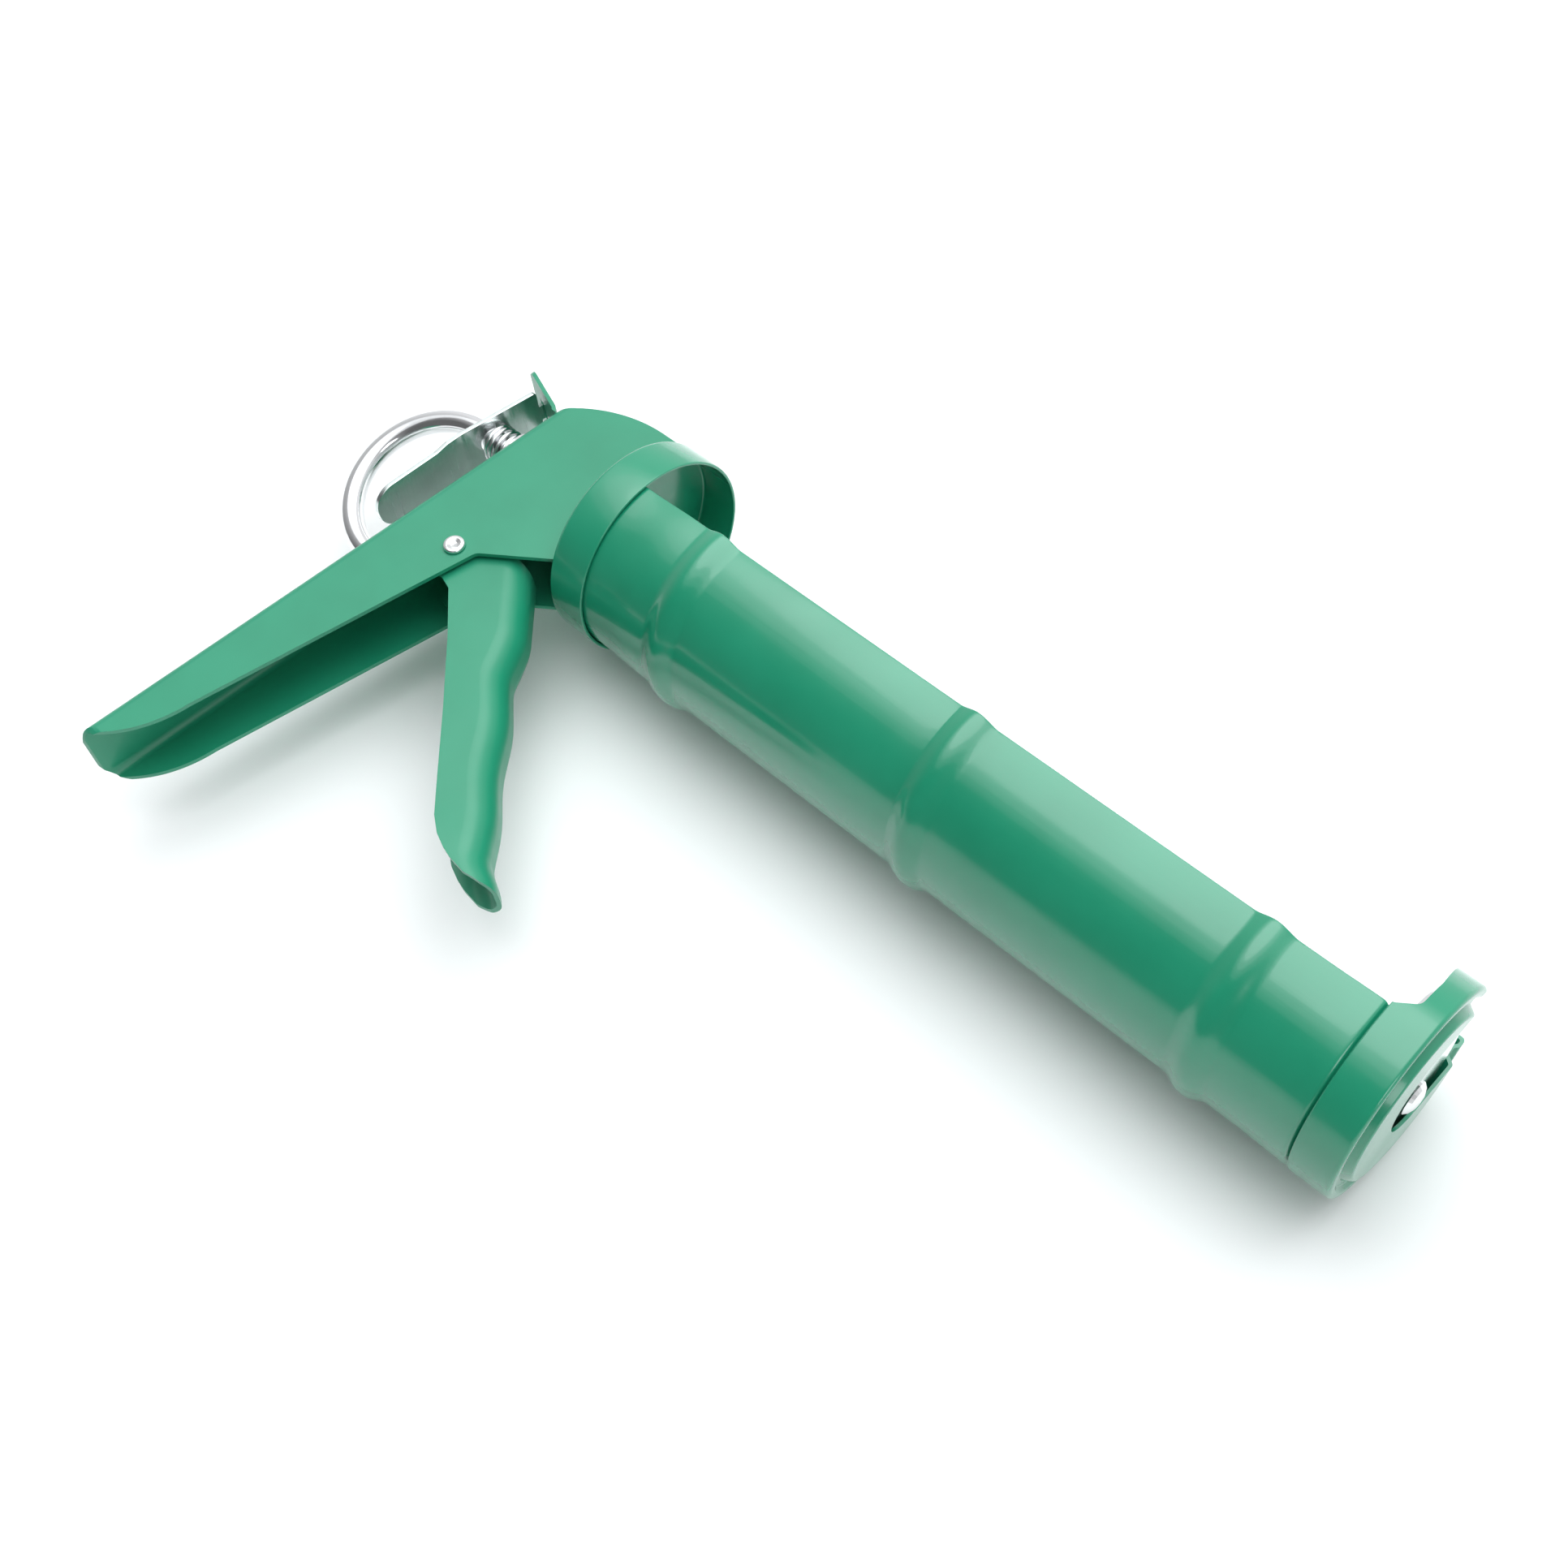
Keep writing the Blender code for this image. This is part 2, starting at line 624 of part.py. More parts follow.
sleeve = [(inner_half - 0.3, 2.55), (inner_half - 0.3, 3.7), (0.3 - inner_half, 3.7), (0.3 - inner_half, 2.55)]
turned_pin("trigger_spacer_sleeve", sleeve, (*PIVOT, 0.0), BRASS, 20, True)

# ---- drive plate and its spring --------------------------------------------------------------------
plate = rounded([(-24.4, -8.0), (12.0, -8.0), (12.0, 8.0), (-24.4, 8.0)], [2.0] * 4, 3)
prism(
    "drive_plate",
    [plate, circle(0.0, 0.0, ROD_R + 0.5, 20)],
    DRIVE_X,
    DRIVE_X + DRIVE_T,
    (DRIVE_X, 0.0, 0.0),
    ZINC,
    plane="yz",
)


def coil(name, x0, x1, radius, thick, turns, origin, spec, ground=0.75):
    """Compression spring whose end turns lie close together."""
    points = []
    count = int(turns * 12)
    length = x1 - x0 - 2 * thick
    for i in range(count + 1):
        t = i / count * turns
        if t < ground:
            lift = thick * 1.06 * t / ground * 0.75
        elif t > turns - ground:
            lift = length - thick * 1.06 * (turns - t) / ground * 0.75
        else:
            low = thick * 1.06 * 0.75
            lift = low + (length - 2 * low) * (t - ground) / (turns - 2 * ground)
        angle = 2 * math.pi * t
        points.append((x0 + thick + lift, radius * math.cos(angle), radius * math.sin(angle)))
    return wire(name, points, thick, origin, spec, 1)


seat = rear - 1.7
turned(
    "drive_spring_washer",
    [(seat, 3.6), (seat, 7.4), (seat - 0.9, 7.4), (seat - 0.9, 3.6)],
    (0.0, 0.0, 0.0),
    ZINC,
    24,
    True,
)
coil("drive_spring", DRIVE_X + DRIVE_T + 0.2, seat - 1.1, 5.3, 0.55, 4.6, (seat - 0.9, 0.0, 0.0), SPRING)

# ---- release plate, its spring and seat --------------------------------------------------------------
top = Vector(PLATE_TOP)
knee = Vector(PLATE_BEND)
lift = (top - knee).normalized()
plate_path = [tuple(top + lift * 1.1)]
plate_path += bend(PLATE_BEND, PLATE_TOP, PLATE_LOW, 6.0, 3)
plate_path.append(PLATE_LOW)
release = prism("release_plate", [strip(plate_path, PLATE_T)], -9.0, 9.0, (*PLATE_TOP, 0.0), ZINC)
shoulder = PLATE_TOP[1] - 1.6
low = PLATE_LOW[1] + 0.1
shape = rounded(
    [
        (shoulder + 8.0, -TONGUE_HALF),
        (shoulder + 8.0, TONGUE_HALF),
        (shoulder, TONGUE_HALF),
        (shoulder, PLATE_HALF),
        (-12.8, PLATE_HALF),
        (-16.6, TAB_HALF),
        (low, TAB_HALF),
        (low, -TAB_HALF),
        (-16.6, -TAB_HALF),
        (-12.8, -PLATE_HALF),
        (shoulder, -PLATE_HALF),
        (shoulder, -TONGUE_HALF),
    ],
    [0, 0, 0, 0.8, 2.0, 2.0, 6.4, 6.4, 2.0, 2.0, 0.8, 0],
    5,
)
cut(release, prism("shape", [shape], -90.0, -40.0, (0.0, 0.0, 0.0), plane="yz"), "INTERSECT")
cut(release, rod_cutter("release_hole", ROD_R + 0.75, -90.0, -50.0, 0.0, 0.0, 24))

wall_back = BACK_X - 10.0 * math.tan(tilt)
turned(
    "release_spring_washer",
    [(wall_back - 1.0, 3.6), (wall_back - 1.0, 7.2), (wall_back - 1.9, 7.2), (wall_back - 1.9, 3.6)],
    (wall_back - 1.0, 0.0, 0.0),
    ZINC,
    24,
    True,
)
coil("release_spring", -63.0, wall_back - 2.1, 4.9, 0.6, 4.5, (wall_back - 1.9, 0.0, 0.0), SPRING)

bpy.context.view_layer.update()
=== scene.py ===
"""Looks of a half-round cradle caulking gun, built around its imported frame.

Lengths are in the gun's own millimetres: x runs forward from the front lip of the rear
collar, y is the gun's upper side, z its right side.
"""
import math

import bmesh
import bpy
from mathutils import Matrix, Vector


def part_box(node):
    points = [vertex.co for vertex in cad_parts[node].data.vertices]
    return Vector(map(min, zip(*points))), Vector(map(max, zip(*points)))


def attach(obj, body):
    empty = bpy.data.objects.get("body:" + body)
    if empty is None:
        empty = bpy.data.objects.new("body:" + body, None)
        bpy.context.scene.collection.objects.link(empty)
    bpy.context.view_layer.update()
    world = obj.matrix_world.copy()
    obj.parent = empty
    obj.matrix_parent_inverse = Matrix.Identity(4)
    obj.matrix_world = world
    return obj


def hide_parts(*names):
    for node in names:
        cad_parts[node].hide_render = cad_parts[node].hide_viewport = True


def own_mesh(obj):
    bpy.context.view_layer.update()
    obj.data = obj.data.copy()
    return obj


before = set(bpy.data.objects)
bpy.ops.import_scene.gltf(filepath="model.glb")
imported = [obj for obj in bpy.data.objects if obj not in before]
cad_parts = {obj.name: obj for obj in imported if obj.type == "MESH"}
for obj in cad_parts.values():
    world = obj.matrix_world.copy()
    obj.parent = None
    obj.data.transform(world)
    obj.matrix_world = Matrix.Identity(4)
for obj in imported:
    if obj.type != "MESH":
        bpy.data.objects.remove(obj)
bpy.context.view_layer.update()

MM = 0.001
DEG = math.pi / 180.0

collar_low, collar_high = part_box("rear_collar")
GUN_ORIGIN = Vector((collar_high.x, (collar_low.y + collar_high.y) / 2, (collar_low.z + collar_high.z) / 2))

# ---- sizes shared with the frame ---------------------------------------------------------
SHEET = 0.9
COLLAR_R = 27.5
COLLAR_LEN = 11.9
COLLAR_T = 0.8
TROUGH_R = 26.95
TROUGH_END_R = 26.35
TROUGH_BACK = -8.5
TROUGH_FRONT = 222.2
TROUGH_EDGE_Y = 0.9
RIB_X = (26.5, 106.8, 187.1)
RIB_HALF = 5.6
RIB_H = 1.75
CAP_FACE = 225.0
CAP_R = 27.5
CAP_T = 0.8
CAP_DEEP = 10.5
CAP_SHALLOW = 7.0
CAP_STEP = 1.3
SLOT_HALF = 12.0
SLOT_Y = 4.0
FRAME_W = 21.0
FRAME_T = 1.2
FRAME_BEND = 3.2
BACK_X = -51.5
BACK_Y = 10.0
BACK_TILT = 5.3 * DEG
FRAME_FRONT = -12.25
FRAME_TOP = 24.7
TOP_ARC_X = -22.0
TOP_ARC_R = 40.8
FRONT_LOW_Y = -21.9
KNEE = (-30.2, -34.0)
FRONT_END = (-49.4, -111.0)
TIP_Y = -134.9
TIP_BULGE = 6.0
EAR_HALF = 10.3
EAR_TIP_X = -67.4
EAR_RISE = 20.0 * DEG
EAR_SLOT = 2.7
EAR_SLOT_HALF = 3.3
ROD_R = 3.15
ROD_FRONT = 225.0
HOOK_X = -68.5
HOOK_R = 22.6
HOOK_RUN = 4.5
HOOK_LEAN = 15.0 * DEG
DISC_FRONT = 224.6
DISC_R = 23.4
PIVOT = (-36.1, -36.0)
TRIGGER_W = 16.4
TRIGGER_T = 1.2
NOSE = (-39.4, -20.0)
NOSE_R = 4.5
GRIP_ANGLE = -46.5 * DEG
GRIP_END = 98.0
GRIP_ROUND = 6.6
GRIP_HEEL = 18.9
GRIP_WAIST = 16.1
GRIP_TOE = 15.3
WAVE = 0.45
WAVE_LEN = 27.0
WAVE_CREST = 51.0
FLARE = 2.2
DRIVE_X = -34.55
DRIVE_T = 2.4
PLATE_TOP = (-61.8, 16.2)
PLATE_BEND = (-66.6, -8.5)
PLATE_LOW = (-68.8, -37.8)
PLATE_T = 1.3
PLATE_HALF = 7.8
TAB_HALF = 7.0
TONGUE_HALF = 2.4


# ---- materials ------------------------------------------------------------------------------
class Nodes:
    """A Principled material with the helpers that every finish here needs."""

    def __init__(self, name, **sockets):
        self.mat = bpy.data.materials.new(name)
        self.mat.use_nodes = True
        self.tree = self.mat.node_tree
        self.shader = self.tree.nodes["Principled BSDF"]
        for socket, value in sockets.items():
            self.shader.inputs[socket.replace("_", " ")].default_value = value
        self.coords = self.tree.nodes.new("ShaderNodeTexCoord")

    def new(self, kind, **values):
        node = self.tree.nodes.new(kind)
        for key, value in values.items():
            if key in node.inputs:
                node.inputs[key].default_value = value
            else:
                setattr(node, key, value)
        return node

    def link(self, source, target):
        self.tree.links.new(source, target)

    def noise(self, scale, stretch=(1.0, 1.0, 1.0), detail=2.0, rough=0.5, turn=(0.0, 0.0, 0.0)):
        place = self.new("ShaderNodeMapping")
        place.inputs["Scale"].default_value = stretch
        place.inputs["Rotation"].default_value = turn
        self.link(self.coords.outputs["Object"], place.inputs["Vector"])
        tex = self.new("ShaderNodeTexNoise", Scale=scale, Detail=detail, Roughness=rough)
        self.link(place.outputs["Vector"], tex.inputs["Vector"])
        return tex.outputs["Fac"]

    def ramp(self, value, stops):
        node = self.new("ShaderNodeValToRGB")
        self.link(value, node.inputs["Fac"])
        elements = node.color_ramp.elements
        while len(elements) < len(stops):
            elements.new(0.5)
        for element, (place, colour) in zip(elements, stops):
            element.position = place
            element.color = (*colour, 1.0)
        return node.outputs["Color"]

    def spread(self, value, low, high, start=0.3, end=0.7):
        node = self.new("ShaderNodeMapRange")
        node.inputs["From Min"].default_value = start
        node.inputs["From Max"].default_value = end
        node.inputs["To Min"].default_value = low
        node.inputs["To Max"].default_value = high
        self.link(value, node.inputs["Value"])
        return node.outputs["Result"]

    def colour(self, output):
        self.link(output, self.shader.inputs["Base Color"])

    def roughness(self, output):
        self.link(output, self.shader.inputs["Roughness"])

    def bump(self, *layers):
        """Each layer is (height output, depth in millimetres); they add up."""
        normal = None
        for height, depth in layers:
            node = self.new("ShaderNodeBump", Strength=1.0, Distance=depth * MM)
            self.link(height, node.inputs["Height"])
            if normal:
                self.link(normal, node.inputs["Normal"])
            normal = node.outputs["Normal"]
        self.link(normal, self.shader.inputs["Normal"])
        if "Coat Normal" in self.shader.inputs:
            self.link(normal, self.shader.inputs["Coat Normal"])


ENAMEL = ((0.007, 0.222, 0.118), (0.010, 0.244, 0.132), (0.013, 0.264, 0.146))


def enamel(name, rough, waves=None, coat=0.5):
    """Baked enamel on sheet steel: thin gloss, slight orange peel and rolling marks."""
    m = Nodes(name, IOR=1.52, Coat_Weight=coat, Coat_Roughness=0.10)
    patches = m.noise(38.0, detail=3.0)
    m.colour(m.ramp(patches, [(0.25, ENAMEL[0]), (0.5, ENAMEL[1]), (0.8, ENAMEL[2])]))
    m.roughness(m.spread(m.noise(90.0, detail=4.0), rough - 0.035, rough + 0.05))
    layers = [(m.noise(520.0, detail=2.0), 0.006), (m.noise(95.0, detail=1.0), 0.02)]
    if waves:
        layers.append((m.noise(1.0, stretch=waves, detail=3.0, rough=0.6), 0.03))
    m.bump(*layers)
    return m.mat


def plated(name, colour, rough, grain, depth, fleck=0.04):
    """Plated steel with fine grain lines and a faintly clouded colour."""
    m = Nodes(name, Metallic=1.0)
    low = tuple(c * (1.0 - fleck) for c in colour)
    high = tuple(min(1.0, c * (1.0 + fleck)) for c in colour)
    m.colour(m.ramp(m.noise(140.0, detail=4.0), [(0.3, low), (0.5, colour), (0.75, high)]))
    m.roughness(m.spread(m.noise(1.0, stretch=grain, detail=3.0), rough * 0.75, rough * 1.3))
    m.bump((m.noise(1.0, stretch=grain, detail=4.0, rough=0.65), depth))
    return m.mat


MATERIALS = {
    "enamel_barrel": enamel("enamel_barrel", 0.20, waves=(4.0, 330.0, 330.0)),
    "enamel_pressed": enamel("enamel_pressed", 0.22),
    "enamel_flat": enamel("enamel_flat", 0.40, coat=0.15),
    "zinc_sheet": plated("zinc_sheet", (0.70, 0.76, 0.745), 0.22, (60.0, 900.0, 60.0), 0.002),
    "zinc_turned": plated("zinc_turned", (0.80, 0.81, 0.81), 0.20, (900.0, 120.0, 120.0), 0.002),
    "rod_bright": plated("rod_bright", (0.86, 0.86, 0.87), 0.11, (30.0, 700.0, 700.0), 0.0012, 0.02),
    "spring_bright": plated("spring_bright", (0.82, 0.82, 0.83), 0.15, (500.0, 500.0, 500.0), 0.0012),
    "steel_plain": plated("steel_plain", (0.50, 0.49, 0.47), 0.34, (300.0, 80.0, 80.0), 0.003, 0.10),
}


# ---- mesh helpers -----------------------------------------------------------------------------
def place(x, y, z=0.0):
    return Vector((x, y, z)) * MM + GUN_ORIGIN


def obj_from(name, verts, faces, material=None):
    mesh = bpy.data.meshes.new(name)
    mesh.from_pydata([place(*v) for v in verts], [], faces)
    mesh.validate()
    obj = bpy.data.objects.new(name, mesh)
    bpy.context.scene.collection.objects.link(obj)
    if material:
        mesh.materials.append(MATERIALS[material])
    return obj


def outward(obj):
    work = bmesh.new()
    work.from_mesh(obj.data)
    bmesh.ops.recalc_face_normals(work, faces=work.faces)
    work.to_mesh(obj.data)
    work.free()
    return obj


def shade(obj, angle=32.0):
    obj.data.shade_smooth()
    obj.data.set_sharp_from_angle(angle=angle * DEG)
    return obj


def applied(obj):
    bpy.context.view_layer.update()
    graph = bpy.context.evaluated_depsgraph_get()
    mesh = bpy.data.meshes.new_from_object(obj.evaluated_get(graph))
    obj.modifiers.clear()
    obj.data = mesh
    return obj


def cut(obj, tool, operation="DIFFERENCE"):
    mod = obj.modifiers.new(operation.lower(), "BOOLEAN")
    mod.operation = operation
    mod.solver = "EXACT"
    mod.object = tool
    applied(obj)
    bpy.data.objects.remove(tool, do_unlink=True)
    return obj


def softened(obj, width, segments=3, angle=38.0):
    """Round the sheet's own edges, as shearing and enamel do."""
    work = bmesh.new()
    work.from_mesh(obj.data)
    bmesh.ops.remove_doubles(work, verts=work.verts, dist=0.004 * MM)
    bmesh.ops.dissolve_degenerate(work, edges=work.edges, dist=0.002 * MM)
    work.to_mesh(obj.data)
    work.free()
    mod = obj.modifiers.new("edge", "BEVEL")
    mod.width = width * MM
    mod.segments = segments
    mod.limit_method = "ANGLE"
    mod.angle_limit = angle * DEG
    mod.use_clamp_overlap = True
    mod.miter_outer = "MITER_ARC"
    applied(obj)
    shade(obj, 45.0)
    mod = obj.modifiers.new("normals", "WEIGHTED_NORMAL")
    mod.keep_sharp = True
    mod.weight = 80
    return applied(obj)


def fillet(points, radii, steps=5, closed=False):
    """Polyline with rounded corners; radii is one number or one for each point."""
    count = len(points)
    if not hasattr(radii, "__len__"):
        radii = [radii] * count
    result = []
    for i, corner in enumerate(points):
        ends = not closed and i in (0, count - 1)
        if ends or radii[i] <= 0:
            result.append(tuple(corner))
            continue
        here = Vector(corner)
        before = Vector(points[i - 1]) - here
        after = Vector(points[(i + 1) % count]) - here
        half = before.angle(after) / 2
        if half > 1.55 or before.length < 1e-6 or after.length < 1e-6:
            result.append(tuple(corner))
            continue
        reach = min(radii[i] / math.tan(half), before.length * 0.49, after.length * 0.49)
        radius = reach * math.tan(half)
        a, b = before.normalized(), after.normalized()
        centre = here + (a + b).normalized() * (radius / math.sin(half))
        first, last = here + a * reach - centre, here + b * reach - centre
        span = math.atan2(first.x * last.y - first.y * last.x, first.dot(last))
        for k in range(steps + 1):
            t = span * k / steps
            c, s = math.cos(t), math.sin(t)
            result.append((centre.x + first.x * c - first.y * s, centre.y + first.x * s + first.y * c))
    return result


def turned(name, profile, material, steps=128, axis="x", centre=(0.0, 0.0, 0.0)):
    """Closed profile of (along, radius) turned about a line through centre."""
    verts, faces = [], []
    count = len(profile)
    for k in range(steps):
        t = 2 * math.pi * k / steps
        for along, radius in profile:
            p, q = radius * math.cos(t), radius * math.sin(t)
            local = (along, p, q) if axis == "x" else (p, q, along)
            verts.append(tuple(c + d for c, d in zip(centre, local)))
    for k in range(steps):
        a, b = k * count, (k + 1) % steps * count
        for i in range(count):
            j = (i + 1) % count
            faces.append((a + i, a + j, b + j, b + i))
    obj = obj_from(name, verts, faces, material)
    work = bmesh.new()
    work.from_mesh(obj.data)
    bmesh.ops.remove_doubles(work, verts=work.verts, dist=0.001 * MM)
    bmesh.ops.dissolve_degenerate(work, edges=work.edges, dist=0.0005 * MM)
    work.to_mesh(obj.data)
    work.free()
    outward(obj)
    return shade(obj, 50.0)


def prism(name, loops, low, high, plane="xy", material=None):
    """Closed outlines, the later ones holes, filled and extruded from low to high."""
    curve = bpy.data.curves.new(name + "_outline", "CURVE")
    curve.dimensions = "2D"
    curve.fill_mode = "BOTH"
    curve.extrude = (high - low) / 2
    for loop in loops:
        spline = curve.splines.new("POLY")
        spline.points.add(len(loop) - 1)
        for point, (u, v) in zip(spline.points, loop):
            point.co = (u, v, 0.0, 1.0)
        spline.use_cyclic_u = True
    holder = bpy.data.objects.new(name + "_outline", curve)
    bpy.context.scene.collection.objects.link(holder)
    bpy.context.view_layer.update()
    graph = bpy.context.evaluated_depsgraph_get()
    mesh = bpy.data.meshes.new_from_object(holder.evaluated_get(graph))
    bpy.data.objects.remove(holder, do_unlink=True)
    work = bmesh.new()
    work.from_mesh(mesh)
    bmesh.ops.remove_doubles(work, verts=work.verts, dist=0.0001)
    middle = (high + low) / 2
    for vert in work.verts:
        u, v, w = vert.co.x, vert.co.y, vert.co.z + middle
        vert.co = place(*{"xy": (u, v, w), "yz": (w, u, v), "zx": (v, w, u)}[plane])
    bmesh.ops.recalc_face_normals(work, faces=work.faces)
    work.to_mesh(mesh)
    work.free()
    obj = bpy.data.objects.new(name, mesh)
    bpy.context.scene.collection.objects.link(obj)
    mesh.materials.clear()
    if material:
        mesh.materials.append(MATERIALS[material])
    return obj


def block(name, low, high):
    x0, y0, z0 = low
    x1, y1, z1 = high
    return prism(name, [[(x0, y0), (x1, y0), (x1, y1), (x0, y1)]], z0, z1)


def circle(u, v, radius, steps=64, start=0.0, turn=360.0):
    count = steps if abs(turn) >= 360.0 else steps + 1
    step = turn / steps
    return [
        (u + radius * math.cos((start + i * step) * DEG), v + radius * math.sin((start + i * step) * DEG))
        for i in range(count)
    ]


def strip(path, thick):
    """Outline of a bent strip that is centred on a path of points in one plane."""
    left, right = [], []
    for i, point in enumerate(path):
        here = Vector(point)
        ahead = (Vector(path[i + 1]) - here).normalized() if i + 1 < len(path) else None
        behind = (here - Vector(path[i - 1])).normalized() if i else None
        along = (ahead or behind) if not (ahead and behind) else (ahead + behind).normalized()
        normal = Vector((-along.y, along.x))
        reach = thick / 2
        if ahead and behind:
            reach /= max(0.5, normal.dot(Vector((-ahead.y, ahead.x))))
        left.append(tuple(here + normal * reach))
        right.append(tuple(here - normal * reach))
    return left + right[::-1]


def swept(name, points, radius, material, around=24, nose=0.6):
    """Round wire along points, its ends chamfered to nose times the radius."""
    path = [Vector(p) for p in points]
    tangents = []
    for i in range(len(path)):
        tangents.append((path[min(i + 1, len(path) - 1)] - path[max(i - 1, 0)]).normalized())
    side = tangents[0].cross(Vector((0.0, 0.0, 1.0)))
    if side.length < 1e-3:
        side = tangents[0].cross(Vector((0.0, 1.0, 0.0)))
    side.normalize()
    rings = []
    chamfer = radius * (1 - nose)
    rings.append((path[0], tangents[0], radius * nose))
    rings.append((path[0] + tangents[0] * chamfer, tangents[0], radius))
    rings += [(p, t, radius) for p, t in zip(path[1:-1], tangents[1:-1])]
    rings.append((path[-1] - tangents[-1] * chamfer, tangents[-1], radius))
    rings.append((path[-1], tangents[-1], radius * nose))
    verts, faces = [], []
    for centre, tangent, r in rings:
        side = (side - tangent * side.dot(tangent)).normalized()
        other = tangent.cross(side)
        for k in range(around):
            t = 2 * math.pi * k / around
            verts.append(tuple(centre + side * (r * math.cos(t)) + other * (r * math.sin(t))))
    for i in range(len(rings) - 1):
        for k in range(around):
            a, b = i * around + k, i * around + (k + 1) % around
            faces.append((a, b, b + around, a + around))
    faces.append(tuple(range(around)))
    faces.append(tuple(range((len(rings) - 1) * around, len(rings) * around)))
    obj = obj_from(name, verts, faces, material)
    outward(obj)
    return shade(obj, 40.0)


def stand_in(obj, body, node):
    """The piece takes the place of one CAD node and rides on that node's body."""
    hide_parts(node)
    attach(obj, body)
    return obj


# ---- barrel -------------------------------------------------------------------------------------
def trough_radius(x):
    start = (x - 3.0) / 14.0
    end = (CAP_FACE - CAP_DEEP - 0.1 - x) / 1.4
    share = min(1.0, max(0.0, min(start, end)))
    share = share * share * (3 - 2 * share)
    radius = TROUGH_END_R + (TROUGH_R - TROUGH_END_R) * share
    if x < CAP_FACE - CAP_DEEP - 0.4:
        radius += 0.3 * min(1.0, max(0.0, (x - 203.0) / 8.0))
    for rib in RIB_X:
        offset = abs(x - rib) / RIB_HALF
        if offset < 1.0:
            radius += RIB_H * (0.5 + 0.5 * math.cos(math.pi * offset)) ** 0.8
    return radius


def barrel():
    """Half-round sheet whose long edges lie on one plane; its rims are rounded."""
    stations = [TROUGH_BACK + 0.35, -4.0, 0.0, 3.0]
    x = 4.0
    while x < CAP_FACE - CAP_DEEP - 2.2:
        stations.append(x)
        near = min(abs(x - rib) for rib in RIB_X) < RIB_HALF + 1.5
        x += 0.35 if near else 2.0
    seam = CAP_FACE - CAP_DEEP
    stations += [seam - gap for gap in (2.0, 1.5, 1.1, 0.7, 0.4, 0.1)]
    stations += [seam + 3.0, TROUGH_FRONT - 0.35]
    around = 112
    section = []
    rim = [(0.0, 1.0), (0.18, 0.72), (0.5, 0.5), (0.82, 0.72), (1.0, 1.0)]
    verts = []
    for x in stations:
        outer = trough_radius(x)
        inner = outer - SHEET
        a_out = math.acos(TROUGH_EDGE_Y / outer)
        a_in = math.acos(TROUGH_EDGE_Y / inner)
        ring = []
        for k in range(around + 1):
            t = a_out + (2 * math.pi - 2 * a_out) * k / around
            ring.append((x, outer * math.cos(t), outer * math.sin(t)))
        for k in range(around + 1):
            t = a_in + (2 * math.pi - 2 * a_in) * (around - k) / around
            ring.append((x, inner * math.cos(t), inner * math.sin(t)))
        verts += ring
    count = 2 * (around + 1)
    faces = []
    for i in range(len(stations) - 1):
        for k in range(count):
            a, b = i * count + k, i * count + (k + 1) % count
            faces.append((a, b, b + count, a + count))
    for base in (0, (len(stations) - 1) * count):
        for k in range(around):
            faces.append((base + k, base + k + 1, base + count - 2 - k, base + count - 1 - k))
    obj = obj_from("barrel_shell", verts, faces, "enamel_barrel")
    outward(obj)
    return softened(obj, 0.28, 3, 50.0)


stand_in(barrel(), "frame", "barrel_trough")

cap_back = CAP_FACE - CAP_DEEP
cap_profile = fillet(
    [
        (CAP_FACE + CAP_STEP, 0.0),
        (CAP_FACE + CAP_STEP, 21.4),
        (CAP_FACE - 0.9, 22.8),
        (CAP_FACE - 0.9, 24.4),
        (CAP_FACE, 25.4),
        (CAP_FACE, CAP_R),
        (cap_back, CAP_R),
        (cap_back, CAP_R - CAP_T),
        (CAP_FACE - CAP_T, CAP_R - CAP_T),
        (CAP_FACE - CAP_T, 25.8),
        (CAP_FACE - 1.7, 24.8),
        (CAP_FACE - 1.7, 22.4),
        (CAP_FACE + CAP_STEP - CAP_T, 21.0),
        (CAP_FACE + CAP_STEP - CAP_T, 0.0),
    ],
    [0, 0.9, 0.5, 0.5, 0.9, 1.3, 0.25, 0.2, 0.5, 0.3, 0.3, 0.3, 0.5, 0],
    6,
)
cap = turned("cap_cup", cap_profile, "enamel_pressed", 160)
shallow = CAP_FACE - CAP_SHALLOW
notch = fillet(
    [
        (200.0, 1.2),
        (cap_back + 0.2, 1.2),
        (shallow + 1.2, 4.7),
        (shallow + 1.2, 13.0),
        (shallow, 23.0),
        (shallow, 40.0),
        (200.0, 40.0),
    ],
    [0, 2.0, 2.5, 8.0, 8.0, 0, 0],
    5,
    True,
)
cut(cap, prism("notch", [notch], -40.0, 40.0))
slot = [(40.0, SLOT_HALF)] + circle(SLOT_Y, 0.0, SLOT_HALF, 48, 90.0, 180.0) + [(40.0, -SLOT_HALF)]
cut(cap, prism("slot", [slot], 200.0, 240.0, "yz"))
softened(cap, 0.22, 3, 42.0)
stand_in(cap, "frame", "front_cap")

collar_profile = fillet(
    [
        (0.0, COLLAR_R),
        (-COLLAR_LEN, COLLAR_R),
        (-COLLAR_LEN, 5.2),
        (COLLAR_T - COLLAR_LEN, 5.2),
        (COLLAR_T - COLLAR_LEN, COLLAR_R - COLLAR_T),
        (0.0, COLLAR_R - COLLAR_T),
    ],
    [0.32, 1.3, 0.25, 0.25, 0.6, 0.32],
    8,
    True,
)
collar = turned("collar_cup", collar_profile, "enamel_pressed", 160)
stand_in(collar, "frame", "rear_collar")

# ---- handle frame ---------------------------------------------------------------------------------
half = FRAME_W / 2
wall = FRAME_T


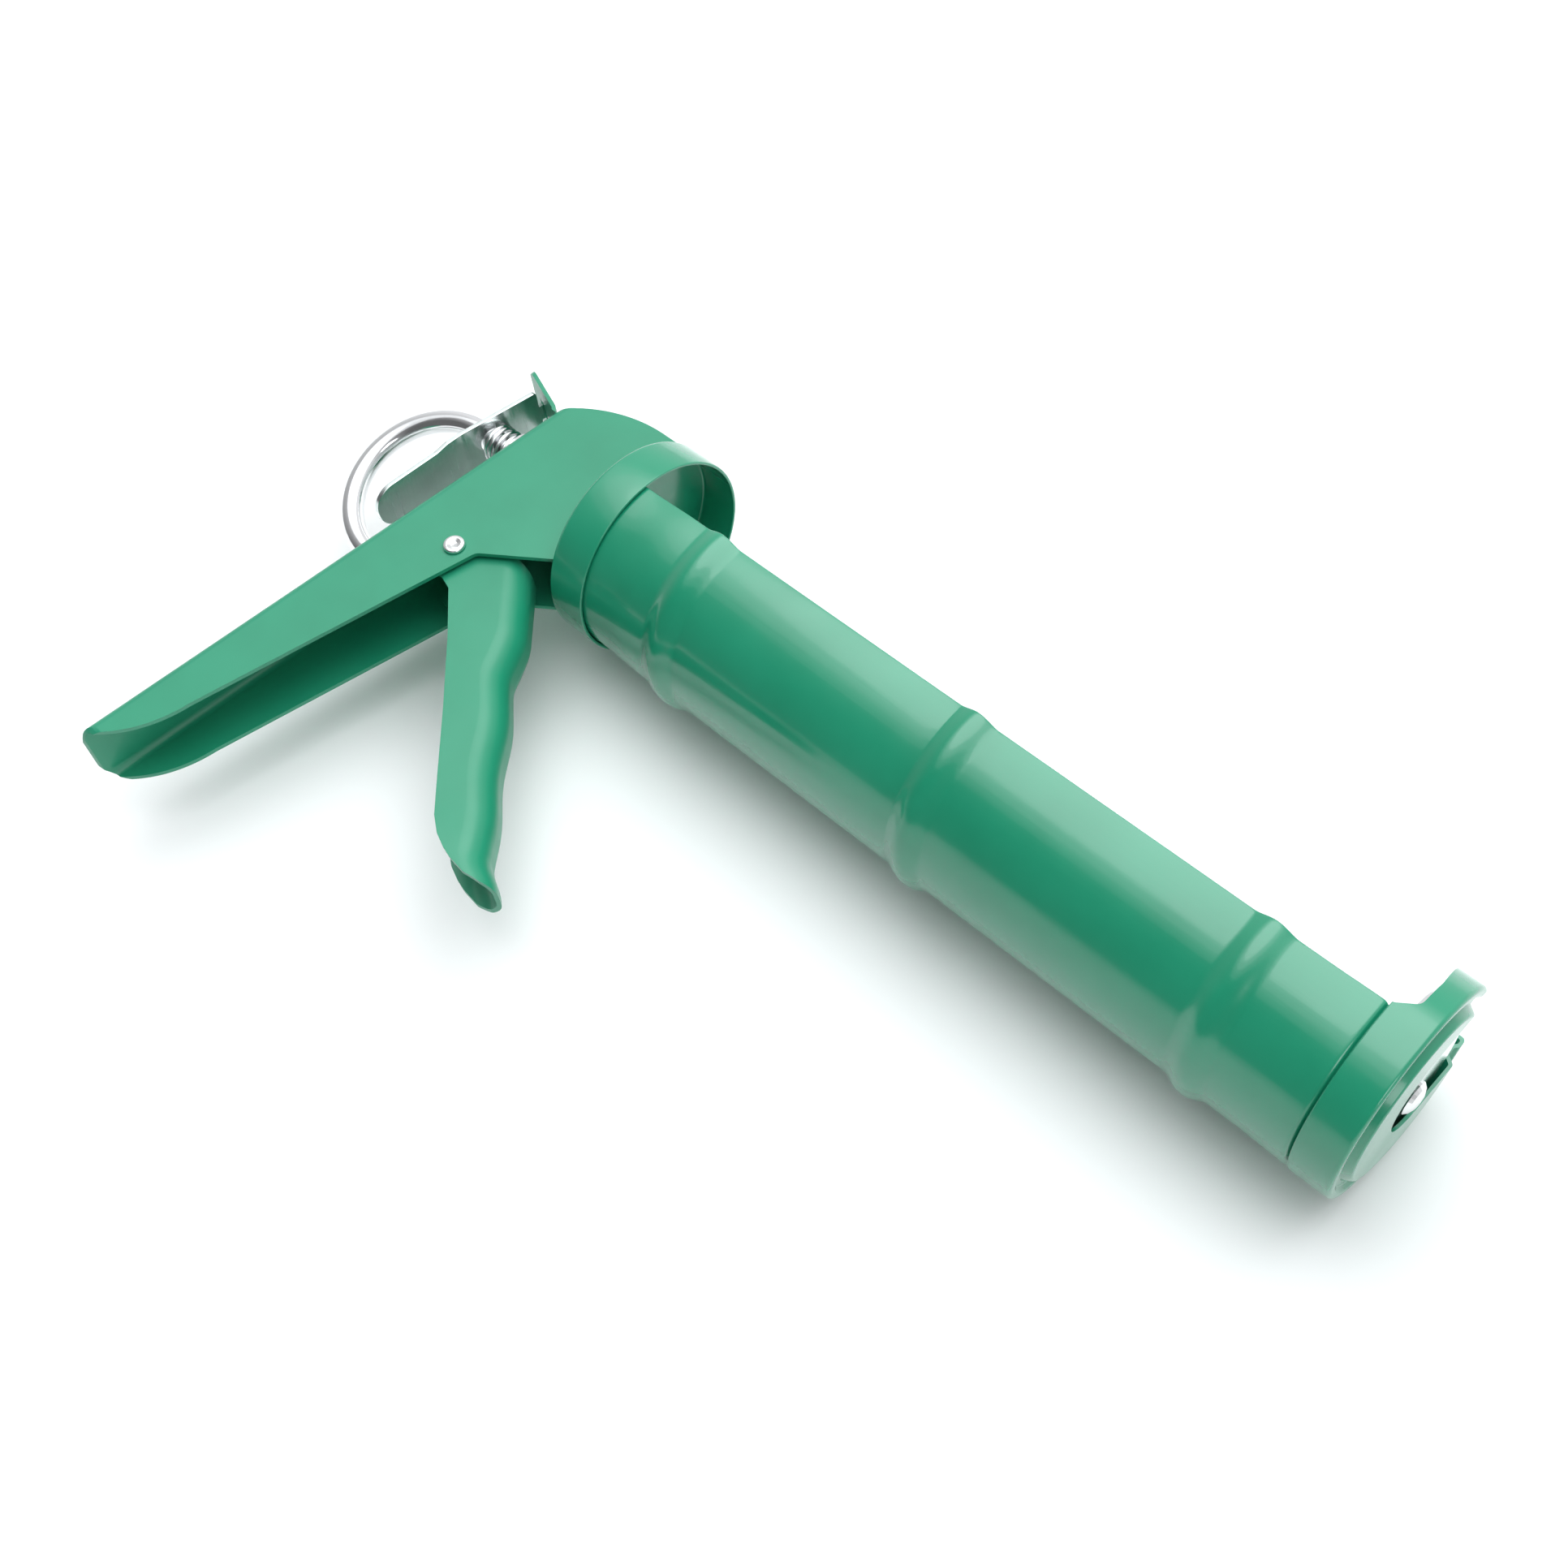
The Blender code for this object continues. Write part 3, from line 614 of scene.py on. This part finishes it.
def frame_block(name, loop, material=None):
    obj = prism(name, [loop], -170.0, 40.0, "yz", material)
    for vert in obj.data.vertices:
        local = (vert.co - GUN_ORIGIN) / MM
        down, inward, side = -local.x, local.y, local.z
        x = BACK_X - down * math.sin(BACK_TILT) + inward * math.cos(BACK_TILT)
        y = BACK_Y - down * math.cos(BACK_TILT) - inward * math.sin(BACK_TILT)
        vert.co = place(x, y, side)
    return outward(obj)


outer_loop = fillet(
    [(0.0, -half), (60.0, -half), (60.0, half), (0.0, half)],
    [FRAME_BEND, 0, 0, FRAME_BEND],
    14,
    True,
)
inner_loop = fillet(
    [(wall, wall - half), (65.0, wall - half), (65.0, half - wall), (wall, half - wall)],
    [FRAME_BEND - wall, 0, 0, FRAME_BEND - wall],
    12,
    True,
)
handle = frame_block("handle_sheet", outer_loop, "enamel_flat")
cut(handle, frame_block("hollow", inner_loop))

outline = [(FRAME_FRONT, FRONT_LOW_Y), (FRAME_FRONT, FRAME_TOP)]
for i in range(29):
    x = TOP_ARC_X + (BACK_X + 0.4 - TOP_ARC_X) * i / 28
    outline.append((x, FRAME_TOP - TOP_ARC_R + math.sqrt(TOP_ARC_R**2 - (x - TOP_ARC_X) ** 2)))
outline += [(-60.0, 11.5), (-75.0, 11.0), (-80.0, TIP_Y - 1.6), (-66.0, TIP_Y)]
tip_start = Vector((-64.0, TIP_Y + 0.6))
tip_mid = Vector((FRONT_END[0] - 2.4, TIP_Y + 9.0))
for i in range(25):
    t = i / 24
    a = tip_start.lerp(tip_mid, t)
    b = tip_mid.lerp(Vector(FRONT_END), t)
    outline.append(tuple(a.lerp(b, t)))
knee = fillet([FRONT_END, KNEE, (FRAME_FRONT, FRONT_LOW_Y)], 2.6, 8)
outline += knee[1:-1]
cut(handle, prism("outline", [outline], -30.0, 30.0), "INTERSECT")

ear_start = (BACK_X + 0.62 - 6.0 * math.sin(BACK_TILT), BACK_Y - 6.0)
ear_corner = (BACK_X + 0.75, BACK_Y + 2.6)
ear_tip = (EAR_TIP_X, ear_corner[1] + (ear_corner[0] - EAR_TIP_X) * math.tan(EAR_RISE))
ear_path = fillet([ear_start, ear_corner, ear_tip], 2.4, 10)
ear = prism("ear", [strip(ear_path, 1.1)], -EAR_HALF, EAR_HALF)
ear_plan = fillet(
    [(EAR_HALF, -40.0), (EAR_HALF, EAR_TIP_X - 0.6), (-EAR_HALF, EAR_TIP_X - 0.6), (-EAR_HALF, -40.0)],
    [0, 4.2, 4.2, 0],
    12,
    True,
)
cut(ear, prism("plan", [ear_plan], -10.0, 40.0, "zx"), "INTERSECT")
for side in (-1, 1):
    inner, outer = sorted((side * 7.4, side * 12.0))
    cut(ear, block("relief", (-56.0, 0.0, inner), (-48.0, BACK_Y + 2.0, outer)))
cut(handle, ear, "UNION")
tip_loop = [(40.0, 12.0), (40.0, -12.0)]
for i in range(37):
    t = (5.0 * i - 90.0) * DEG
    tip_loop.append((TIP_Y - 0.4 + TIP_BULGE * (1.0 - math.cos(t)), 1.02 * half * math.sin(t)))
cut(handle, prism("tip", [tip_loop], -95.0, 0.0, "yz"), "INTERSECT")
cut(handle, prism("pivot_holes", [circle(*PIVOT, 2.5)], -30.0, 30.0))
slot_x = PLATE_TOP[0]
slot_low = (slot_x - EAR_SLOT / 2, 8.0, -EAR_SLOT_HALF)
slot_high = (slot_x + EAR_SLOT / 2, 30.0, EAR_SLOT_HALF)
cut(handle, block("ear_slot", slot_low, slot_high))
cut(handle, prism("rod_hole", [circle(0.0, 0.0, ROD_R + 1.0)], -70.0, -40.0, "yz"))
softened(handle, 0.26, 3, 40.0)
stand_in(handle, "frame", "handle_frame")

# ---- rod and plunger --------------------------------------------------------------------------------
rod_path = [(x, 0.0) for x in (ROD_FRONT, 180.0, 140.0, 100.0, 60.0, 20.0, -20.0, -50.0)]
rod_path += [(u, v - HOOK_R) for u, v in circle(HOOK_X, 0.0, HOOK_R - 0.1, 56, 90.0, 180.0)]
rod_path.append((HOOK_X + HOOK_RUN, -2 * HOOK_R))
lean_c, lean_s = math.cos(HOOK_LEAN), math.sin(HOOK_LEAN)
rod = swept("push_rod", [(x, y * lean_c, y * lean_s) for x, y in rod_path], ROD_R, "rod_bright", 32, 0.8)
stand_in(rod, "rod", "plunger_rod")

disc_profile = fillet(
    [
        (DISC_FRONT, 3.5),
        (DISC_FRONT, DISC_R - 4.2),
        (DISC_FRONT - 2.4, DISC_R),
        (DISC_FRONT - 7.0, DISC_R),
        (DISC_FRONT - 7.0, DISC_R - 1.2),
        (DISC_FRONT - 3.0, DISC_R - 1.2),
        (DISC_FRONT - 1.3, DISC_R - 4.4),
        (DISC_FRONT - 1.3, 3.5),
    ],
    [0.15, 1.6, 1.4, 0.3, 0.3, 0.8, 1.0, 0.15],
    6,
    True,
)
disc = turned("push_disc", disc_profile, "zinc_turned", 128)
stand_in(disc, "plunger", "plunger_disc")
behind = DISC_FRONT - 1.6
washer = fillet([(behind, 3.5), (behind, 11.0), (behind - 1.6, 11.0), (behind - 1.6, 3.5)], 0.25, 4, True)
backing = turned("backing_washer", washer, "zinc_turned", 96)
stand_in(backing, "plunger", "plunger_backing_washer")

# ---- trigger ------------------------------------------------------------------------------------------
along = Vector((math.cos(GRIP_ANGLE), math.sin(GRIP_ANGLE)))
across = Vector((-along.y, along.x))


def grip_point(distance, offset):
    return tuple(Vector(PIVOT) + along * distance + across * offset)


def smooth(value):
    t = min(1.0, max(0.0, value))
    return t * t * (3 - 2 * t)


def grip_offset(distance):
    """How far the crown of the finger side stands from the lever's long axis."""
    if distance < 0.0:
        return GRIP_HEEL + 6.0 * smooth(-distance / 4.0)
    offset = GRIP_HEEL - (GRIP_HEEL - GRIP_WAIST) * smooth((distance - 23.0) / 15.0)
    offset -= (GRIP_WAIST - GRIP_TOE) * smooth((distance - 38.0) / 50.0)
    wave = WAVE * math.cos(2 * math.pi * (distance - WAVE_CREST) / WAVE_LEN)
    return offset + wave * smooth((distance - 30.0) / 8.0) + FLARE * smooth((distance - 88.0) / 9.0)


def lever_block(name, inset, half_width, radius, material=None):
    """Solid whose finger side is a rounded crown that follows the finger waves."""
    rows = [-20.0, -6.0] + [-4.0 + 0.8 * i for i in range(129)] + [110.0]
    steps = 12
    levels = [-half_width + radius - radius * math.cos(math.pi / 2 * i / steps) for i in range(steps + 1)]
    levels += [-z for z in reversed(levels)]
    verts = []
    faces = []
    for distance in rows:
        for z in levels:
            past = max(0.0, abs(z) - (half_width - radius))
            sag = radius - math.sqrt(max(0.0, radius * radius - past * past))
            verts.append((*grip_point(distance, grip_offset(distance) - inset - sag), z))
        verts.append((*grip_point(distance, -40.0), half_width))
        verts.append((*grip_point(distance, -40.0), -half_width))
    count = len(levels) + 2
    for i in range(len(rows) - 1):
        for j in range(count):
            a, b = i * count + j, i * count + (j + 1) % count
            faces.append((a, b, b + count, a + count))
    faces.append(tuple(range(count)))
    faces.append(tuple(range((len(rows) - 1) * count, len(rows) * count)))
    return outward(obj_from(name, verts, faces, material))


tail = [grip_point(97.0, 14.1), grip_point(94.7, 10.3), grip_point(90.6, 6.8), grip_point(87.6, 4.9)]
tail += [grip_point(84.0, 3.2), grip_point(79.0, 2.1), grip_point(70.4, 1.8), grip_point(48.0, 1.2)]
tail += [grip_point(26.4, 0.2), grip_point(11.5, -1.0), (-33.2, -43.7), (-38.4, -43.3)]
side_shape = [grip_point(GRIP_END, 26.0), grip_point(GRIP_END, 17.4)]
side_shape += fillet(side_shape[-1:] + tail[:-2], 3.0, 4)[1:-1] + tail[-3:]
side_shape += circle(PIVOT[0], PIVOT[1], 7.0, 14, 240.0, -80.0)
side_shape += circle(*NOSE, NOSE_R, 28, 170.0, -220.0)
side_shape += [(-34.4, -27.0), grip_point(3.0, 16.4), grip_point(10.5, 26.0)]
trigger = lever_block("trigger_lever", 0.0, TRIGGER_W / 2, GRIP_ROUND, "enamel_flat")
cut(trigger, lever_block("core", TRIGGER_T, TRIGGER_W / 2 - TRIGGER_T, GRIP_ROUND - TRIGGER_T))
cut(trigger, prism("side", [side_shape, circle(*PIVOT, 2.9, 40)], -18.0, 18.0), "INTERSECT")
softened(trigger, 0.24, 3, 40.0)
stand_in(trigger, "trigger_lever", "trigger")

out = FRAME_W / 2
rivet = fillet(
    [
        (out + 0.7, 0.02),
        (out + 0.8, 0.9),
        (out + 1.3, 1.9),
        (out + 1.1, 2.75),
        (out + 0.3, 2.9),
        (out + 0.3, 2.2),
        (-out - 0.3, 2.2),
        (-out - 0.3, 2.9),
        (-out - 1.1, 2.75),
        (-out - 1.3, 1.9),
        (-out - 0.8, 0.9),
        (-out - 0.7, 0.02),
    ],
    [0, 0.3, 0.5, 0.5, 0.1, 0.1, 0.1, 0.1, 0.5, 0.5, 0.3, 0],
    5,
    True,
)
pivot = turned("pivot_rivet", rivet, "zinc_turned", 72, "z", (*PIVOT, 0.0))
stand_in(pivot, "frame", "trigger_pivot_rivet")


# ---- springs and release plate ---------------------------------------------------------------------------
def coil(name, x0, x1, radius, thick, turns, ground=0.75):
    """Compression spring whose end turns lie close together."""
    points = []
    count = int(turns * 40)
    length = x1 - x0 - 2 * thick
    rest = thick * 1.06 * 0.75
    for i in range(count + 1):
        t = i / count * turns
        if t < ground:
            lift = rest * t / ground
        elif t > turns - ground:
            lift = length - rest * (turns - t) / ground
        else:
            lift = rest + (length - 2 * rest) * (t - ground) / (turns - 2 * ground)
        angle = 2 * math.pi * t
        points.append((x0 + thick + lift, radius * math.cos(angle), radius * math.sin(angle)))
    return swept(name, points, thick, "spring_bright", 14, 0.85)


wall_back = BACK_X - 10.0 * math.tan(BACK_TILT)
release_coil = coil("release_coil", -63.0, wall_back - 2.1, 4.9, 0.6, 4.5)
stand_in(release_coil, "frame", "release_spring")
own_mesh(release_coil)

seat = -COLLAR_LEN - 1.7
drive_coil = coil("drive_coil", DRIVE_X + DRIVE_T + 0.2, seat - 1.1, 5.3, 0.55, 4.6)
stand_in(drive_coil, "frame", "drive_spring")
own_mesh(drive_coil)

top, knee_p = Vector(PLATE_TOP), Vector(PLATE_BEND)
lift = (top - knee_p).normalized()
plate_path = fillet([tuple(top + lift * 1.1), PLATE_BEND, PLATE_LOW], 6.0, 12)
release = prism("release_lever", [strip(plate_path, PLATE_T)], -9.0, 9.0, "xy", "zinc_sheet")
shoulder = PLATE_TOP[1] - 1.6
low = PLATE_LOW[1] + 0.1
shape = fillet(
    [
        (shoulder + 8.0, -TONGUE_HALF),
        (shoulder + 8.0, TONGUE_HALF),
        (shoulder, TONGUE_HALF),
        (shoulder, PLATE_HALF),
        (-12.8, PLATE_HALF),
        (-16.6, TAB_HALF),
        (low, TAB_HALF),
        (low, -TAB_HALF),
        (-16.6, -TAB_HALF),
        (-12.8, -PLATE_HALF),
        (shoulder, -PLATE_HALF),
        (shoulder, -TONGUE_HALF),
    ],
    [0, 0, 0, 0.8, 2.0, 2.0, 6.4, 6.4, 2.0, 2.0, 0.8, 0],
    14,
    True,
)
cut(release, prism("shape", [shape], -90.0, -40.0, "yz"), "INTERSECT")
cut(release, prism("release_hole", [circle(0.0, 0.0, ROD_R + 0.75)], -90.0, -50.0, "yz"))
softened(release, 0.2, 3, 40.0)
stand_in(release, "release", "release_plate")

# ---- carried-over pieces ----------------------------------------------------------------------
KEPT = {
    "zinc_turned": (
        "rod_guide_bush", "rod_shoulder_ring", "rod_end_rivet", "drive_spring_washer",
        "release_spring_washer", "trigger_washer_left", "trigger_washer_right",
    ),
    "zinc_sheet": ("drive_plate",),
    "steel_plain": ("trigger_spacer_sleeve",),
}
for finish, names in KEPT.items():
    for name in names:
        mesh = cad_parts[name].data
        mesh.materials.clear()
        mesh.materials.append(MATERIALS[finish])

# ---- floor, light and camera ------------------------------------------------------------------
FLOOR_HALF = 4.0
FLOOR_GAP = 0.0002
floor_mesh = bpy.data.meshes.new("floor")
reach = FLOOR_HALF
corners = [(-reach, -reach, 0), (reach, -reach, 0), (reach, reach, 0), (-reach, reach, 0)]
floor_mesh.from_pydata(corners, [], [(0, 1, 2, 3)])
floor = bpy.data.objects.new("floor", floor_mesh)
bpy.context.scene.collection.objects.link(floor)
floor.location.z = -FLOOR_GAP
paper = Nodes("floor_paper", Roughness=0.8)
paper.colour(paper.ramp(paper.noise(3.0), [(0.3, (0.86, 0.865, 0.865)), (0.7, (0.89, 0.89, 0.89))]))
floor_mesh.materials.append(paper.mat)

world = bpy.data.worlds.new("studio")
world.use_nodes = True
sky = world.node_tree
toward = sky.nodes.new("ShaderNodeTexCoord")
split = sky.nodes.new("ShaderNodeSeparateXYZ")
fade = sky.nodes.new("ShaderNodeMapRange")
for socket, value in (("From Min", -0.7), ("From Max", 0.5), ("To Min", 0.14), ("To Max", 0.9)):
    fade.inputs[socket].default_value = value
sky.links.new(toward.outputs["Generated"], split.inputs["Vector"])
sky.links.new(split.outputs["Y"], fade.inputs["Value"])
sky.nodes["Background"].inputs["Color"].default_value = (0.97, 0.985, 1.0, 1.0)
sky.links.new(fade.outputs["Result"], sky.nodes["Background"].inputs["Strength"])
bpy.context.scene.world = world


def softbox(name, at, size, power, aim=(0.0, 0.0, 0.02), shape="DISK", depth=None, colour=(0.95, 0.985, 1.0)):
    light = bpy.data.lights.new(name, "AREA")
    light.shape = shape
    light.size = size
    if depth:
        light.size_y = depth
    light.energy = power
    light.color = colour
    holder = bpy.data.objects.new(name, light)
    bpy.context.scene.collection.objects.link(holder)
    holder.location = at
    holder.rotation_euler = (Vector(aim) - Vector(at)).to_track_quat("-Z", "Y").to_euler()
    return holder


OVERHEAD = (-0.10, 0.35, 1.0)
OVERHEAD_SIZES = (1.9, 1.5, 1.1)
OVERHEAD_STEP = 0.01
OVERHEAD_POWER = 5.2
for i, size in enumerate(OVERHEAD_SIZES):
    at = (OVERHEAD[0], OVERHEAD[1], OVERHEAD[2] + OVERHEAD_STEP * i)
    softbox(f"overhead_{i}", at, size, OVERHEAD_POWER, (OVERHEAD[0], OVERHEAD[1], 0.0))
softbox("side", (1.3, -0.5, 0.8), 0.7, 4.0)

CAMERA_LENS = 46.584
CAMERA_AT = (277.688, -194.233, 398.853)
camera_data = bpy.data.cameras.new("camera")
camera_data.sensor_width = 36.0
camera_data.lens = CAMERA_LENS
camera_data.clip_start = 0.01
camera_data.clip_end = 20.0
camera = bpy.data.objects.new("camera", camera_data)
bpy.context.scene.collection.objects.link(camera)
right = Vector((0.71976024, 0.68885005, -0.08620133))
upward = Vector((-0.54479718, 0.63742727, 0.54486924))
back = Vector((0.43028030, -0.34521300, 0.83407843))
turn = Matrix((right, upward, back)).transposed()
camera.matrix_world = Matrix.Translation(place(*CAMERA_AT)) @ turn.to_4x4()
bpy.context.scene.camera = camera
bpy.context.scene.view_settings.view_transform = "Standard"
